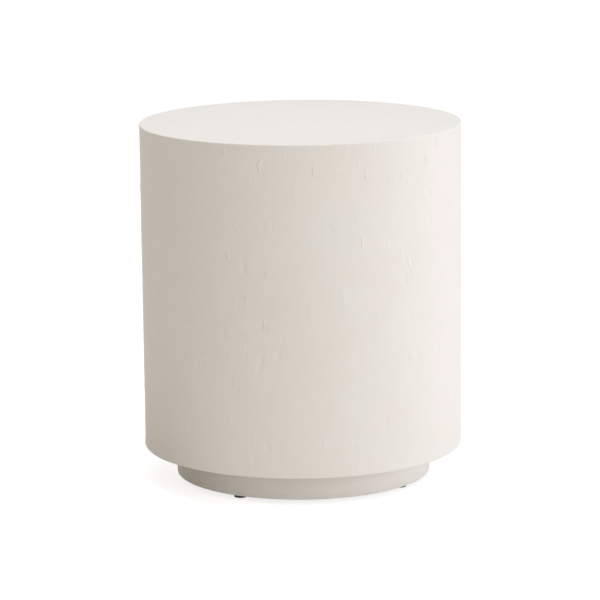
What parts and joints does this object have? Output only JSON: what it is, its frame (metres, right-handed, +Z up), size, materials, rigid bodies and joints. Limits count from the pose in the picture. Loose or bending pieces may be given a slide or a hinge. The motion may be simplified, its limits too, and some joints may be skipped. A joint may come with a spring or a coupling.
{
  "type": "drum side table",
  "caption": "Round plastered drum side table on a recessed plinth, with a bent plywood carcass inside and screw-adjusted levelling feet below.",
  "frame": {"origin": "on the floor, under the drum's axis", "axes": "+Z up along the drum's axis, -Y towards the front; the feet stand on the diagonals"},
  "size_m": [0.457, 0.457, 0.5125],
  "materials": {
    "plaster": "matte, hand-trowelled mineral plaster, sealed",
    "painted_board": "matte painted MDF",
    "mdf": "bare MDF",
    "plywood": "bare bending plywood",
    "softwood": "planed softwood",
    "zinc_steel": "bright zinc plated steel",
    "nylon": "black moulded nylon"
  },
  "bodies": {
    "table": {"top_coat": "plaster", "side_coat": "plaster", "plinth_coat": "plaster", "base_panel": "painted_board", "plinth_lower_board": "painted_board", "top_panel": "mdf", "upper_former": "mdf", "middle_former": "mdf", "lower_former": "mdf", "plinth_core_board": "mdf", "plinth_upper_board": "mdf", "outer_skin": "plywood", "inner_skin": "plywood", "front_post": "softwood", "right_post": "softwood", "rear_post": "softwood", "left_post": "softwood", "top_panel_screws": "zinc_steel", "base_panel_screws": "zinc_steel", "upper_post_screws": "zinc_steel", "lower_post_screws": "zinc_steel", "middle_former_screws": "zinc_steel", "plinth_bolts": "zinc_steel", "plinth_washers": "zinc_steel", "base_insert_nuts": "zinc_steel", "foot_insert_nuts": "zinc_steel"},
    "front_left_pad": {"front_left_foot_pad": "nylon"},
    "front_left_stud": {"front_left_foot_stud": "zinc_steel"},
    "front_right_pad": {"front_right_foot_pad": "nylon"},
    "front_right_stud": {"front_right_foot_stud": "zinc_steel"},
    "rear_right_pad": {"rear_right_foot_pad": "nylon"},
    "rear_right_stud": {"rear_right_foot_stud": "zinc_steel"},
    "rear_left_pad": {"rear_left_foot_pad": "nylon"},
    "rear_left_stud": {"rear_left_foot_stud": "zinc_steel"}
  },
  "joints": [
    {"name": "front_left_foot_height", "type": "slide", "parent": "table", "child": "front_left_pad", "axis": [0, 0, 1], "range_m": [-0.012, 0]},
    {"name": "front_left_foot_turn", "type": "hinge", "parent": "front_left_pad", "child": "front_left_stud", "pos_m": [-0.11526, -0.11526, 0], "axis": [0, 0, 1], "range_deg": [-3450, 0]},
    {"name": "front_right_foot_height", "type": "slide", "parent": "table", "child": "front_right_pad", "axis": [0, 0, 1], "range_m": [-0.012, 0]},
    {"name": "front_right_foot_turn", "type": "hinge", "parent": "front_right_pad", "child": "front_right_stud", "pos_m": [0.11526, -0.11526, 0], "axis": [0, 0, 1], "range_deg": [-3450, 0]},
    {"name": "rear_right_foot_height", "type": "slide", "parent": "table", "child": "rear_right_pad", "axis": [0, 0, 1], "range_m": [-0.012, 0]},
    {"name": "rear_right_foot_turn", "type": "hinge", "parent": "rear_right_pad", "child": "rear_right_stud", "pos_m": [0.11526, 0.11526, 0], "axis": [0, 0, 1], "range_deg": [-3450, 0]},
    {"name": "rear_left_foot_height", "type": "slide", "parent": "table", "child": "rear_left_pad", "axis": [0, 0, 1], "range_m": [-0.012, 0]},
    {"name": "rear_left_foot_turn", "type": "hinge", "parent": "rear_left_pad", "child": "rear_left_stud", "pos_m": [-0.11526, 0.11526, 0], "axis": [0, 0, 1], "range_deg": [-3450, 0]}
  ],
  "couplings": [
    {"joint": "front_left_foot_height", "follows": "front_left_foot_turn", "m_per_rad": 0.00019894},
    {"joint": "front_right_foot_height", "follows": "front_right_foot_turn", "m_per_rad": 0.00019894},
    {"joint": "rear_right_foot_height", "follows": "rear_right_foot_turn", "m_per_rad": 0.00019894},
    {"joint": "rear_left_foot_height", "follows": "rear_left_foot_turn", "m_per_rad": 0.00019894}
  ]
}
